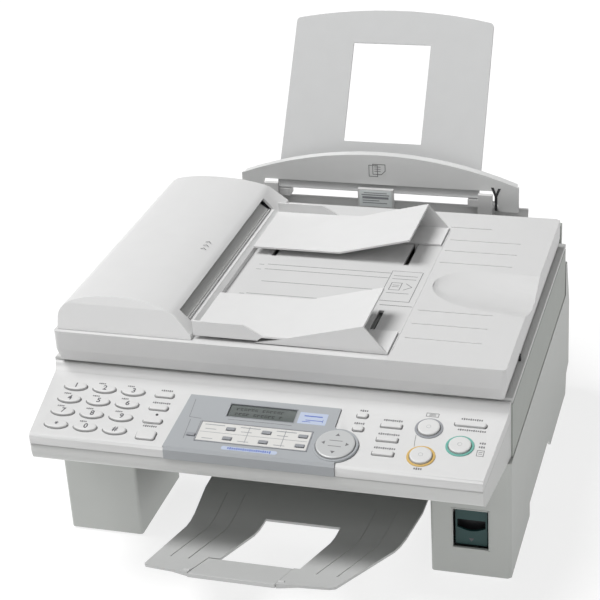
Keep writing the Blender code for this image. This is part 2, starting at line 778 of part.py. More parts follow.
def display():
    thick = 2.4
    top = 1.6
    plate = moved(prism(bezel_outline(), -PANEL_THICK, top, "z"), PANEL)
    lip = prism(
        [
            (LIP_Y - 0.8, LIP_LOW),
            (LIP_Y + thick, LIP_LOW),
            (LIP_Y + thick + 3, LIP_Z - 2.0),
            (LIP_Y + 5.2, LIP_Z + 2.6),
            (LIP_Y + 1.6, LIP_Z + 1.8),
            (LIP_Y - 0.8, LIP_Z - 1.0),
        ],
        -93,
        93,
        "x",
    )
    cuts = [on_panel(rounded(37.2, 9.8, 1.0, 1), -2.3, 65.6, -8, 8)]
    for x in (-28.4, 11.1, 50.9):
        for s in (36.5, 22.3):
            cuts.append(on_panel(rounded(5.0, 2.4, 1.0, 1), x, s, -8, 8))
    cuts.append(on_panel(rounded(5.0, 2.4, 1.0, 1), -69.1, 23.4, -8, 8))
    cuts.append(on_panel(ring_points(NAV_RADIUS + 0.5, NAV_RADIUS + 0.5, 28), *NAV_KEY, -8, 8))
    node("display_bezel", plate, join=[lip], cut=[group(*cuts)], look=(SILVER, 0.35, 0.3))
    screen = on_panel(rounded(36.7, 9.3, 0.6, 1), -2.3, 65.6, -3.0, 0.4)
    node("lcd_screen", screen, look=((0.12, 0.16, 0.14), 0.15))


# ---------------------------------------------------------------- document cover and feeder


def document_cover():
    def ring(grow, z):
        half = COVER_HALF + grow
        return [(-half, -grow, z), (half, -grow, z), (half, COVER_DEPTH, z), (-half, COVER_DEPTH, z)]

    slab = stack([ring(0, SEAM_Z), ring(2.5, SEAM_Z + 13), ring(2.5, COVER_TOP)])
    hollow = box(-246.5, 246.5, 3.5, COVER_DEPTH - 3.5, SEAM_Z - 5, COVER_TOP - WALL)
    posts = [rod("z", (PINION_X, GUIDE_MID_Y), 240, COVER_TOP - 1, 2.6, 10)]
    for x in (-150.0, 60.0):
        for y in (84.0, 266.0):
            posts.append(rod("z", (x, y), MAT_TOP + GAP, COVER_TOP - 1, 5, 10))
    lugs = []
    for side in (-1, 1):
        low, high = sorted((side * 216.2, side * 227.8))
        outline = [(381, 234.5), (391, 236.5), (398.5, 238), (398.5, 246.6), (390, 246.6), (381, 245)]
        lugs.append(prism(outline, low, high, "x"))
        low, high = sorted((side * 213.0, side * 231.0))
        lugs.append(rod("x", COVER_HINGE, low, high, PIN_R, 12))
    slots = []
    for x in (-66.0, 95.0):
        slots.append(box(x - 2.8, x + 2.8, 44, 108, COVER_TOP - 6, COVER_TOP + 5))
        slots.append(box(x - 2.8, x + 2.8, 226, 297, COVER_TOP - 6, COVER_TOP + 5))
    cover = node(
        "document_cover",
        slab,
        join=lugs,
        cut=[hollow, group(*slots)],
        look=(WHITE, 0.5),
    )
    for number, post in enumerate(posts):
        combine(cover, "UNION", post, f"post_{number}")
    combine(cover, "UNION", scoop(WALL, COVER_TOP - 1, 249), "scoop_wall")
    combine(cover, "DIFFERENCE", scoop(0, COVER_TOP + 2, 262), "scoop")


def scoop(grow, top, x_end):
    """The finger scoop: shallow at its round left end, deep at the cover's right edge."""
    rings = []
    for x in (137, 139, 142, 147, 154, 163, 174, 187, 203, 221, x_end):
        along = min(1.0, (x - SCOOP_LEFT) / (BODY_HALF - SCOOP_LEFT))
        half = SCOOP_HALF * math.sqrt(1 - (1 - min(1.0, along / 0.55)) ** 2) + grow
        middle = SCOOP_TIP_Y + (SCOOP_MOUTH_Y - SCOOP_TIP_Y) * along
        depth = SCOOP_STEP * (1 - math.exp((SCOOP_LEFT - x) / 5)) + SCOOP_FALL * along + grow
        ring = [(x, middle + half, top), (x, middle - half, top)]
        for i in range(13):
            t = -1 + i / 6
            share = max(0.0, math.cos(math.pi * t / 2)) ** 1.4
            z = COVER_TOP + SCOOP_LIP - (depth + SCOOP_LIP) * share
            ring.append((x, middle + half * t, min(z, top - 0.4)))
        rings.append(ring)
    return stack(rings)


def platen_mat():
    node(
        "platen_mat",
        box(-168, 132, 67, 284, SCAN_TOP_LOW + GAP, MAT_TOP),
        look=((0.85, 0.85, 0.84), 0.9),
    )


def feeder():
    profile = [
        (-249, 258.4),
        (-249, 272),
        (-248, 277),
        (-245.5, 281.5),
        (-241.5, 285.5),
        (-236, 288.8),
        (-229, 291.2),
        (-218, 293.8),
        (-206, 295.5),
        (-190, 296.4),
        (-176, 296.5),
        (-160, 295.6),
        (-145, 293.7),
        (-130, 290.2),
        (-120, 287.0),
        (-113, 284.2),
        (-93, 263),
        (-92, 258.4),
    ]
    inner = [
        (-246.2, 255),
        (-246.2, 270.5),
        (-242.4, 282),
        (-233.5, 287.2),
        (-205.4, 292.8),
        (-176, 293.7),
        (-142.6, 290.8),
        (-123.4, 285.4),
        (-115, 281.6),
        (-95.6, 261.6),
        (-95.2, 255),
    ]
    ends = [(3, 257), (3, 258.4), (12, 287), (19, 300), (361, 300), (368, 287), (381, 258.4), (381, 257)]
    outer = prism(profile, 2, 382, "y")
    slot = prism([(-118, 268), (-80, 268), (-80, 279.5), (-118, 279.5)], 26, 336, "y")
    cover = node(
        "adf_cover",
        outer,
        keep=prism(ends, -262, -80, "x"),
        cut=[feeder_hollow(inner), slot],
        origin=(ADF_HINGE[0], 190, ADF_HINGE[1]),
        look=(WHITE, 0.5),
    )
    roller = (-160.0, 275.0)
    for number, y in enumerate((34.0, 341.0)):
        combine(cover, "UNION", box(-176, -146, y, y + 3, 264, 291.5), f"rib_{number}")
        combine(cover, "DIFFERENCE", rod("y", roller, y - 2, y + 5, 3.4, 12), f"bearing_{number}")
    node(
        "adf_feed_roller",
        rod("y", roller, 130, 220, 10, 16),
        join=[rod("y", roller, 31, 347, 3, 10)],
        origin=(roller[0], 175, roller[1]),
        look=(RUBBER, 0.8),
        smooth=True,
    )


def feeder_hollow(inner):
    """The feeder cover's hollow: its inner profile, shorter towards the top, as the ends slope."""

    def limits(z):
        share = max(0.0, min(1.0, (z - 259) / 27))
        above = max(0.0, z - 286) * 0.55
        return 6 + 8.6 * share + above, 378 - 12.6 * share - above

    return stack([[(x, limits(z)[end], z) for x, z in inner] for end in (0, 1)])


def rack_teeth(count, pitch, tip, root):
    """Rack teeth along y from 0, standing from root to tip along x."""
    points = []
    flank = math.tan(PRESSURE)
    add = abs(tip)
    dedendum = abs(root)
    for i in range(count):
        middle = (i + 0.5) * pitch
        half_pitch_line = pitch / 4 - 0.22
        points.append((root, middle - half_pitch_line - dedendum * flank))
        points.append((tip, middle - half_pitch_line + add * flank))
        points.append((tip, middle + half_pitch_line - add * flank))
        points.append((root, middle + half_pitch_line + dedendum * flank))
    return points


def pinion_outline(teeth, module):
    """Involute teeth, three points to a flank."""
    pitch_r = teeth * module / 2
    base_r = pitch_r * math.cos(PRESSURE)
    outer_r = pitch_r + 0.75 * module
    root_r = pitch_r - 1.2 * module
    inv = math.tan(PRESSURE) - PRESSURE
    half_tooth = math.pi / (2 * teeth) - 0.22 / pitch_r + inv  # at the base circle
    points = []
    for tooth in range(teeth):
        middle = 2 * math.pi * (tooth + 0.5) / teeth
        flank = []
        for radius in (base_r, (base_r + outer_r) / 2, outer_r):
            angle = math.acos(min(1.0, base_r / radius))
            flank.append((radius, half_tooth - (math.tan(angle) - angle)))
        points.append((root_r, middle - half_tooth - 0.02))
        points.extend((r, middle - a) for r, a in flank)
        points.extend((r, middle + a) for r, a in reversed(flank))
        points.append((root_r, middle + half_tooth + 0.02))
    return [(r * math.cos(a), r * math.sin(a)) for r, a in points]


def guide(name, outer_y, depth, rear):
    """One page guide: a folded plate on an outer wall, a foot, and a rack under the cover."""
    inward = -1 if rear else 1

    def span(a, b):
        return tuple(sorted((outer_y + inward * a, outer_y + inward * b)))

    flat_z = 268.0
    thick = 2.2
    plate = [
        (-91, flat_z - thick),
        (-91, flat_z),
        (15, flat_z),
        (100, 290),
        (100.6, 290 - thick),
        (15.3, flat_z - thick),
    ]
    low, high = span(0, depth)
    body = prism(plate, low, high, "y")
    wall = [(-22, 259.2), (15, flat_z - 1), (100, 289), (125, 259.2)]
    low, high = span(0, 2.4)
    fin = [(-91, 262), (-91, 279.5), (-34, 279.5), (-12, 267), (-18, 262)]
    pieces = [prism(wall, low, high, "y"), prism(fin, low, high, "y")]
    low, high = span(0, 50)
    pieces.append(box(80, 125, low, high, 258.6, 260.6))
    neck_low, neck_high = span(38, 50)
    pieces.append(box(93, 97, neck_low, neck_high, 244, 260))
    pieces.append(box(-68, -64, neck_low, neck_high, 248, flat_z - 1))
    pitch = math.pi * RACK_MODULE
    teeth = 9
    tooth_start = GUIDE_MID_Y + inward * (pitch / 2)
    side = 1 if rear else -1
    pitch_x = PINION_X + side * RACK_MODULE * PINION_TEETH / 2
    tip = -side * 0.75 * RACK_MODULE
    root = side * 1.25 * RACK_MODULE
    outline = [(pitch_x + a, tooth_start - inward * b) for a, b in rack_teeth(teeth, pitch, tip, root)]
    outline.insert(0, (pitch_x + root, tooth_start + inward * 1.0))
    far = tooth_start - inward * (teeth * pitch + 1)
    outline.append((pitch_x + root, far))
    outline.append((pitch_x + root + side * 4.5, far))
    outline.append((pitch_x + root + side * 4.5, tooth_start + inward * 1.0))
    pieces.append(prism(outline, 244.4, 249.4, "z"))
    bar_low, bar_high = sorted((far + inward * 1.0, outer_y + inward * 44))
    x_low, x_high = sorted((pitch_x + root + side * 0.2, pitch_x + root + side * 4.5))
    pieces.append(box(x_low, x_high, bar_low, bar_high, 244.4, 249.4))
    cross_low, cross_high = span(40, 48)
    x_low, x_high = sorted((95.0, pitch_x + root + side * 4.0))
    pieces.append(box(x_low, x_high, cross_low, cross_high, 244.2, 249.2))
    node(name, body, join=pieces, origin=(0, outer_y, COVER_TOP), look=(LIGHT, 0.5))


def page_guides():
    guide("document_guide_front", 8.0, 94.0, rear=False)
    guide("document_guide_rear", 333.0, 106.0, rear=True)
    centre = (PINION_X, GUIDE_MID_Y)
    outline = [(a + centre[0], b + centre[1]) for a, b in pinion_outline(PINION_TEETH, RACK_MODULE)]
    node(
        "guide_pinion",
        prism(outline, 244.0, 250.0, "z"),
        cut=[rod("z", centre, 240, 254, 3.0, 12)],
        origin=(*centre, 247.0),
        look=(WHITE, 0.5),
    )


def build():
    for thing in list(bpy.data.objects):
        bpy.data.objects.remove(thing, do_unlink=True)
    lower_casing()
    print_engine()
    paper_input()
    paper_output()
    release_lever()
    top_unit()
    console()
    keys()
    display()
    document_cover()
    platen_mat()
    feeder()
    page_guides()


build()
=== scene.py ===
"""Looks of the fax machine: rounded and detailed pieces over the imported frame, camera, floor and light.

Lengths are millimetres. X runs across the machine, Y from the document cover's front edge to the
back, Z up from the desk. `world` takes such a point to the frame's metres.
"""

import json
import math

import bmesh
import bpy
from mathutils import Matrix, Vector

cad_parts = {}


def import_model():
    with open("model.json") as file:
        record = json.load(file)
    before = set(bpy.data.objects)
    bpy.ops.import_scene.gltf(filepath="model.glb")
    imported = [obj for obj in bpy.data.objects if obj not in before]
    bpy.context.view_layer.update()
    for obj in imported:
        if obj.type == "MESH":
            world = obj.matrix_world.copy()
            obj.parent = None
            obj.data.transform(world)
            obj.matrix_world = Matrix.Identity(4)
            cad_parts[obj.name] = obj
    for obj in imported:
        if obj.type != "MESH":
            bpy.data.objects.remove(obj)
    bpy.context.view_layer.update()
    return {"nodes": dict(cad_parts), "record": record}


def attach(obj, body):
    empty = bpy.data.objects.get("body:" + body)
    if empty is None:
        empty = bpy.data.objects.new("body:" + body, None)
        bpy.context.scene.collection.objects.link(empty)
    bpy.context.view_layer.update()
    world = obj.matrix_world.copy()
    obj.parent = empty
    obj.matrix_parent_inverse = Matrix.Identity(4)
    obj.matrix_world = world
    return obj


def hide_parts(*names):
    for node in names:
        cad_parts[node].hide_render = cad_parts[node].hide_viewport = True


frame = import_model()

MM = 0.001
MIDDLE_Y = 171.57  # Y of the frame's origin
COVER_TOP = 258.0  # upper face of the document cover

# control panel: s runs up its slope from the lip, n stands off it
LIP_Y = -102.3
LIP_Z = 185.0
SLOPE = math.radians(12.74)
DIAL_LEFT, DIAL_STEP = -222, 33.9  # columns of the dial keys
ROW_TOP, ROW_STEP = 79.8, 20.3  # rows of the dial keys, and of the keys beside them
NAV_KEY = (87.4, 29.2)
NAV_RADIUS = 20.8
STATION_COLUMNS = (-28.4, 11.1, 50.9)  # one-touch keys
STATION_LOW, STATION_HIGH = 22.3, 36.5
KEY_RISE = 2.6  # most keys stand this far off the panel
ROUND_KEYS = (("copy", 177.7, 68.6), ("stop", 177.7, 27.2), ("fax_start", 214.2, 47.4))
BEZEL_TOP = 1.6

ARCH_FRONT = 412.0  # face of the arch over the paper slot
HOPPER_CARD_Y = 404.5  # face behind the label under the arch

INK = 0.15  # thickness of printed marks
LEGEND_GROWTH = 1.45  # height of a legend's strokes over the height asked for
WELD = 2e-6  # metres; corners nearer than this are one
NODE_SHARP = math.radians(26)  # edges bent more than this are rounded, on CAD nodes
PIECE_SHARP = math.radians(30)  # and on new pieces

WORLD_LIGHT = 0.21
LIGHTS = (  # name, direction it comes from, strength, width in degrees
    ("key", (-0.5, -0.06, 1.0), 2.65, 30.0),
    ("fill", (0.05, -0.62, 0.85), 0.46, 50.0),
)
FLOOR_HALF, FLOOR_DROP = 40.0, 0.0005  # metres
FLOOR_SHADE = 0.3
FLOOR_GLOW = 0.74
CAMERA_TURN = (17.69, 26.5, -3.58)  # azimuth, elevation and roll, degrees
CAMERA_PLACE = (512.9, -1497.3, 1103.0)
CAMERA_LENS, CAMERA_SENSOR = 100.96, 36.0


def world(point):
    return Vector((point[0] * MM, (point[1] - MIDDLE_Y) * MM, point[2] * MM))


# ---------------------------------------------------------------- materials


def plastic(name, colour, roughness=0.5, grain=0.12, scale=1400.0, mottle=0.008, metallic=0.0, coat=0.0):
    """Moulded plastic: a base colour with a faint mottle, and a fine texture as bump."""
    material = bpy.data.materials.new(name)
    material.use_nodes = True
    nodes = material.node_tree.nodes
    links = material.node_tree.links
    shader = nodes["Principled BSDF"]
    shader.inputs["Base Color"].default_value = (*colour, 1.0)
    shader.inputs["Roughness"].default_value = roughness
    shader.inputs["Metallic"].default_value = metallic
    shader.inputs["Coat Weight"].default_value = coat
    shader.inputs["Coat Roughness"].default_value = 0.15
    place = nodes.new("ShaderNodeTexCoord")
    if mottle:
        cloud = nodes.new("ShaderNodeTexNoise")
        cloud.inputs["Scale"].default_value = 45.0
        cloud.inputs["Detail"].default_value = 3.0
        ramp = nodes.new("ShaderNodeValToRGB")
        ramp.color_ramp.elements[0].position = 0.3
        ramp.color_ramp.elements[1].position = 0.7
        ramp.color_ramp.elements[0].color = (*[c * (1 - mottle) for c in colour], 1.0)
        ramp.color_ramp.elements[1].color = (*[min(1.0, c * (1 + mottle)) for c in colour], 1.0)
        links.new(place.outputs["Object"], cloud.inputs["Vector"])
        links.new(cloud.outputs["Fac"], ramp.inputs["Fac"])
        links.new(ramp.outputs["Color"], shader.inputs["Base Color"])
    if grain:
        speck = nodes.new("ShaderNodeTexNoise")
        speck.inputs["Scale"].default_value = scale
        speck.inputs["Detail"].default_value = 2.0
        bump = nodes.new("ShaderNodeBump")
        bump.inputs["Strength"].default_value = grain
        bump.inputs["Distance"].default_value = 0.0003
        links.new(place.outputs["Object"], speck.inputs["Vector"])
        links.new(speck.outputs["Fac"], bump.inputs["Height"])
        links.new(bump.outputs["Normal"], shader.inputs["Normal"])
    return material


def smooth(name, colour, roughness, metallic=0.0, coat=0.0):
    """Plastic, ink or metal with no texture and no mottle."""
    return plastic(name, colour, roughness, grain=0.0, mottle=0.0, metallic=metallic, coat=coat)


def glassy(name, colour, roughness, transmission):
    material = bpy.data.materials.new(name)
    material.use_nodes = True
    shader = material.node_tree.nodes["Principled BSDF"]
    shader.inputs["Base Color"].default_value = (*colour, 1.0)
    shader.inputs["Roughness"].default_value = roughness
    shader.inputs["Transmission Weight"].default_value = transmission
    return material


LOOKS = {
    "white": plastic("white_plastic", (0.67, 0.67, 0.667), 0.5),
    "feeder": plastic("feeder_plastic", (0.76, 0.76, 0.758), 0.42, 0.10),
    "arch": plastic("arch_plastic", (0.71, 0.715, 0.71), 0.5),
    "cover": plastic("cover_plastic", (0.67, 0.67, 0.668), 0.46, 0.10),
    "light": plastic("light_plastic", (0.61, 0.615, 0.605), 0.5),
    "side": plastic("side_plastic", (0.385, 0.405, 0.38), 0.6, 0.25, scale=900.0, mottle=0.015),
    "leg": plastic("leg_plastic", (0.50, 0.515, 0.495), 0.5, 0.2, scale=1000.0),
    "grey": plastic("grey_plastic", (0.44, 0.45, 0.45), 0.5),
    "tray": plastic("tray_plastic", (0.53, 0.535, 0.53), 0.5, 0.15),
    "support": plastic("support_plastic", (0.61, 0.615, 0.615), 0.42, 0.06),
    "bezel": plastic("bezel_plastic", (0.37, 0.386, 0.402), 0.45, 0.05, mottle=0.0, coat=0.1),
    "nav": plastic("scroll_key_plastic", (0.53, 0.54, 0.54), 0.34, 0.03, mottle=0.0, metallic=0.05, coat=0.2),
    "key": plastic("key_plastic", (0.67, 0.67, 0.665), 0.42, 0.05, mottle=0.0),
    "print": smooth("print_ink", (0.10, 0.10, 0.11), 0.6),
    "print_grey": smooth("print_ink_grey", (0.17, 0.17, 0.175), 0.6),
    # real black plastic, and also painted shade in the slots, the vents and the lever's pocket
    "dark": plastic("dark_plastic", (0.03, 0.03, 0.033), 0.5, 0.05),
    "rubber": plastic("black_rubber", (0.03, 0.03, 0.032), 0.85, 0.2, scale=2500.0),
    "teal": plastic("teal_plastic", (0.009, 0.052, 0.050), 0.45, 0.02, mottle=0.0),
    "teal_ring": smooth("teal_ring", (0.16, 0.42, 0.36), 0.35),
    "amber_ring": smooth("amber_ring", (0.62, 0.42, 0.14), 0.35),
    "grey_ring": smooth("grey_ring", (0.30, 0.31, 0.33), 0.35),
    "steel": plastic("steel_sheet", (0.55, 0.56, 0.57), 0.35, 0.05, scale=300.0, mottle=0.03, metallic=0.9),
    "drum": smooth("drum_coating", (0.03, 0.28, 0.24), 0.12, metallic=0.1, coat=0.6),
    "board": plastic("circuit_board", (0.02, 0.16, 0.07), 0.4, 0.05),
    "mat": plastic("mat_foam", (0.82, 0.82, 0.81), 0.8, 0.3, scale=500.0),
    "paper": plastic("card_paper", (0.66, 0.655, 0.635), 0.7, 0.03),
    # painted shadow: the dark of the gaps round the keys, laid on the panel as thin strips
    "painted_gap_shade": smooth("gap_shadow", (0.22, 0.22, 0.225), 0.7),
    "pale_blue": smooth("pale_blue_label", (0.47, 0.53, 0.66), 0.5),
    "blue": smooth("blue_print", (0.10, 0.16, 0.50), 0.5),
    "pale_green": smooth("pale_green_label", (0.82, 0.86, 0.86), 0.5),
    "lcd": smooth("display_glass", (0.11, 0.125, 0.12), 0.12, coat=1.0),
    "lcd_ink": smooth("display_ink", (0.012, 0.014, 0.014), 0.3),
    "brass": smooth("contact_metal", (0.75, 0.58, 0.25), 0.3, metallic=1.0),
    "glass": glassy("scanner_glass", (0.82, 0.9, 0.88), 0.02, 1.0),
}


# ---------------------------------------------------------------- shapes


def stack(rings):
    """A closed solid through rings with the same number of points, capped at both ends."""
    count = len(rings[0])
    points = [p for ring in rings for p in ring]
    faces = [list(range(count)), list(range(len(points) - count, len(points)))]
    for level in range(len(rings) - 1):
        low = level * count
        for i in range(count):
            j = (i + 1) % count
            faces.append([low + i, low + j, low + count + j, low + count + i])
    return points, faces


def prism(outline, low, high, axis="z"):
    place = {
        "y": lambda a, b, c: (a, c, b),
        "z": lambda a, b, c: (a, b, c),
    }[axis]
    return stack([[place(a, b, c) for a, b in outline] for c in (low, high)])


def rectangle(a0, a1, b0, b1):
    return [(a0, b0), (a1, b0), (a1, b1), (a0, b1)]


def box(x0, x1, y0, y1, z0, z1):
    return prism(rectangle(x0, x1, y0, y1), z0, z1)


def oval(half_a, half_b, count=40):
    steps = [2 * math.pi * i / count for i in range(count)]
    return [(half_a * math.cos(t), half_b * math.sin(t)) for t in steps]


def circle(radius, count):
    return oval(radius, radius, count)


def rounded(half_a, half_b, radius, steps=6):
    points = []
    for corner, (sa, sb) in enumerate(((1, 1), (-1, 1), (-1, -1), (1, -1))):
        for i in range(steps + 1):
            t = math.pi / 2 * (corner + i / steps)
            a = sa * (half_a - radius) + radius * math.cos(t)
            b = sb * (half_b - radius) + radius * math.sin(t)
            points.append((a, b))
    return points


def disc(x, y, low, high, radius, count):
    return prism([(a + x, b + y) for a, b in circle(radius, count)], low, high)


def moved(shape, matrix):
    return [tuple(matrix @ Vector(p)) for p in shape[0]], shape[1]


def group(shapes):
    points, faces = [], []
    for some_points, some_faces in shapes:
        shift = len(points)
        points.extend(some_points)
        faces.extend([i + shift for i in face] for face in some_faces)
    return points, faces


def finish_mesh(name, bm, body, look, angle=35.0):
    mesh = bpy.data.meshes.new(name)
    bm.to_mesh(mesh)
    bm.free()
    mesh.materials.append(LOOKS[look])
    mesh.shade_smooth()
    mesh.set_sharp_from_angle(angle=math.radians(angle))
    thing = bpy.data.objects.new(name, mesh)
    bpy.context.scene.collection.objects.link(thing)
    weigh = thing.modifiers.new("even_shading", "WEIGHTED_NORMAL")
    weigh.keep_sharp = True
    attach(thing, body)
    return thing


def bevel_edges(bm, edges, width, segments):
    if edges:
        bmesh.ops.bevel(
            bm,
            geom=edges,
            offset=width * MM,
            offset_type="OFFSET",
            segments=segments,
            profile=0.5,
            affect="EDGES",
            clamp_overlap=True,
        )


def piece(name, shape, body, look, bevel=0.0, segments=2, angle=35.0):
    """A new piece from a shape, or from a list of shapes, with its sharp edges rounded."""
    points, faces = group(shape) if isinstance(shape, list) else shape
    bm = bmesh.new()
    corners = [bm.verts.new(world(p)) for p in points]
    for face in faces:
        bm.faces.new([corners[i] for i in face])
    bmesh.ops.recalc_face_normals(bm, faces=bm.faces)
    if bevel:
        sharp = [e for e in bm.edges if e.is_manifold and e.calc_face_angle() > PIECE_SHARP]
        bevel_edges(bm, sharp, bevel, segments)
    return finish_mesh(name, bm, body, look, angle)


def body_of_node(node):
    bodies = frame["record"]["behaviour"]["bodies"]
    return next(body for body, members in bodies.items() if node in members)


def paint(node, look):
    """The CAD node stays, with a better material."""
    slots = frame["nodes"][node].material_slots
    for material_slot in slots:
        material_slot.material = LOOKS[look]


# ---------------------------------------------------------------- the panel's frame


def panel_matrix():
    matrix = Matrix.Identity(4)
    matrix.col[1][0:3] = (0, math.cos(SLOPE), math.sin(SLOPE))
    matrix.col[2][0:3] = (0, -math.sin(SLOPE), math.cos(SLOPE))
    matrix.translation = Vector((0, LIP_Y, LIP_Z))
    return matrix


PANEL = panel_matrix()
FLAT = Matrix.Identity(4)
UPRIGHT = Matrix(((1, 0, 0, 0), (0, 0, -1, 0), (0, 1, 0, 0), (0, 0, 0, 1)))


def on_panel(outline, x, s, low, high):
    return moved(prism([(a + x, b + s) for a, b in outline], low, high), PANEL)


def bars(places, n, frame_matrix, thick=INK):
    """Thin printed bars: (x, s, width, height) with their middles at x, s."""
    shapes = []
    for x, s, width, height in places:
        outline = rectangle(x - width / 2, x + width / 2, s - height / 2, s + height / 2)
        shapes.append(moved(prism(outline, n, n + thick), frame_matrix))
    return shapes


def legend(x, s, width, height=2.0, gap=0.8):
    """A row of short strokes where a machine has a printed word."""
    places = []
    height *= LEGEND_GROWTH
    stroke = 1.5
    count = int(width / (stroke + gap))
    start = x - (count - 1) * (stroke + gap) / 2
    for i in range(count):
        tall = height * (0.72, 1.0, 0.8)[i % 3]
        places.append((start + i * (stroke + gap), s, stroke, tall))
    return places


def outline_strip(points, width, low, high, matrix, closed=True):
    """A thin frame line along points in the matrix's plane."""
    shapes = []
    count = len(points)
    for i in range(count if closed else count - 1):
        a = Vector(points[i])
        b = Vector(points[(i + 1) % count])
        along = (b - a).normalized() * (width / 2)
        side = Vector((-along.y, along.x))
        corners = [a - along - side, b + along - side, b + along + side, a - along + side]
        shapes.append(moved(prism([tuple(c) for c in corners], low, high), matrix))
    return shapes


def ring_band(x, s, inner, outer, low, high, matrix, count=48):
    """A round band with a crowned top."""
    profile = [
        (inner, low),
        (inner, high - 0.25),
        (inner + 0.3, high),
        (outer - 0.4, high),
        (outer, high - 0.4),
        (outer, low),
    ]
    points, faces = [], []
    for i in range(count):
        t = 2 * math.pi * i / count
        for r, n in profile:
            points.append(tuple(matrix @ Vector((x + r * math.cos(t), s + r * math.sin(t), n))))
    size = len(profile)
    for i in range(count):
        here, there = i * size, (i + 1) % count * size
        for k in range(size):
            m = (k + 1) % size
            faces.append([here + k, there + k, there + m, here + m])
    return points, faces


def figure(name, text, x, s, n, size, body, look):
    """One printed character on the panel."""
    curve = bpy.data.curves.new(name, "FONT")
    curve.body = text
    curve.size = size * MM
    curve.extrude = 0.06 * MM
    curve.offset = 0.22 * MM
    curve.align_x = "CENTER"
    curve.align_y = "CENTER"
    curve.resolution_u = 4
    curve.materials.append(LOOKS[look])
    thing = bpy.data.objects.new(name, curve)
    bpy.context.scene.collection.objects.link(thing)
    turn = PANEL.to_3x3().to_4x4()
    thing.matrix_world = Matrix.Translation(world(PANEL @ Vector((x, s, n)))) @ turn
    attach(thing, body)


# ---------------------------------------------------------------- casing


def run(axis, longer=20.0, where=None):
    """Picks sharp outer edges along one axis, where a point test (millimetres) holds."""
    index = "xyz".index(axis)

    def wanted(edge):
        a, b = (v.co for v in edge.verts)
        span = b - a
        middle = (a + b) / 2 / MM
        middle.y += MIDDLE_Y
        return (
            edge.is_convex
            and abs(span[index]) > 0.9 * span.length
            and span.length > longer * MM
            and (where is None or where(middle))
        )

    return wanted


def round_node(node, look, rules, small=0.35, angle=35.0, reshape=None):
    """A rounded copy of a CAD node stands for it; each rule is (width, segments, edge test)."""
    bm = bmesh.new()
    bm.from_mesh(frame["nodes"][node].data)
    bmesh.ops.remove_doubles(bm, verts=bm.verts, dist=WELD)
    if reshape:
        reshape(bm)
    bmesh.ops.dissolve_limit(bm, angle_limit=math.radians(1.0), verts=bm.verts, edges=bm.edges)
    steps = list(rules)
    if small:
        steps.append((small, 2, lambda e: e.calc_length() > 4 * small * MM))
    for width, segments, wanted in steps:
        edges = []
        for edge in bm.edges:
            if edge.is_manifold and edge.calc_face_angle() > NODE_SHARP and wanted(edge):
                edges.append(edge)
        bevel_edges(bm, edges, width, segments)
    thing = finish_mesh(node + "_shell", bm, body_of_node(node), look, angle)
    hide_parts(node)


def casing():
    for node in ("left_side_cover", "right_side_cover"):
        corner = run("z", 60, lambda m: m.y < 110)
        round_node(node, "leg", [(4.0, 4, corner)], 0.8)
    round_node("rear_cover", "side", [], 0.8)
    round_node("scanner_body", "side", [], 0.5)
    round_node("scanner_top", "light", [(1.6, 3, run("y", 200)), (1.2, 2, run("x", 300))], 0.4)
    paint("base_pan", "grey")
    round_node("panel_housing", "light", [(1.6, 3, run("x", 200))], 0.6)
    round_node("control_panel", "white", [(1.3, 3, run("x", 60))], 0.3)
    round_node("display_bezel", "bezel", [], 0.4)


def lid():
    def corner(m):
        return abs(m.x) > 240 and (m.y < 20 or m.y > 365)

    def above(m):
        return m.z > COVER_TOP - 3

    rules = [(5.0, 4, run("z", 1.5, corner)), (3.0, 4, run("x", 150, above)), (5.0, 5, run("y", 30, above))]
    round_node("document_cover", "cover", rules, 0.3, 9.0)
    paint("platen_mat", "mat")

    def outside(m):
        return m.z > 259.5 and not (m.x > -119 and 30 < m.y < 332)

    def ends(edge):
        middle = (edge.verts[0].co + edge.verts[1].co) / 2 / MM
        middle.y += MIDDLE_Y
        return edge.is_convex and outside(middle) and (middle.y < 24 or middle.y > 350)

    def widen_slot(bm):
        """The feeding slot's upper lip moves up and away from the slot."""
        lip_x, lip_z = -116, 279.5
        for vert in bm.verts:
            if abs(vert.co.z / MM - lip_z) < 0.1 and vert.co.x / MM > lip_x:
                vert.co.z += 2.8 * MM
                vert.co.x -= 2.6 * MM

    rules = [(1.5, 3, ends), (1.6, 3, run("y", 200, outside))]
    round_node("adf_cover", "feeder", rules, 0.5, 19.0, widen_slot)
    for node in ("document_guide_front", "document_guide_rear"):
        round_node(node, "feeder", [], 0.5)


def paper_parts():
    def rim(edge):
        length = edge.calc_length() / MM
        middle = (edge.verts[0].co + edge.verts[1].co) / 2 / MM
        return edge.is_convex and length < 5.0 and middle.z > 300

    round_node("paper_support", "support", [(5.0, 4, rim)], 0.8)
    round_node("tension_plate", "arch", [(1.1, 3, run("x", 5))], 0.5, 30.0)
    round_node("paper_hopper", "white", [], 0.6)
    round_node("output_tray", "tray", [], 0.8)
    round_node("tray_extension", "tray", [], 0.8)


def insides():
    looks = {
        "engine_frame": "steel",
        "laser_unit": "dark",
        "toner_cartridge": "dark",
        "fuser_unit": "grey",
        "photo_drum": "drum",
        "pickup_roller": "rubber",
        "main_board": "board",
        "power_supply": "steel",
        "scan_carriage": "dark",
        "scan_glass": "glass",
        "adf_feed_roller": "rubber",
        "guide_pinion": "white",
        "lcd_screen": "lcd",
    }
    for node, look in looks.items():
        paint(node, look)


# ---------------------------------------------------------------- keys


def dial_place(i):
    """Middle of dial key i, counted along the rows from the top."""
    return DIAL_LEFT + DIAL_STEP * (i % 3), ROW_TOP - ROW_STEP * (i // 3)


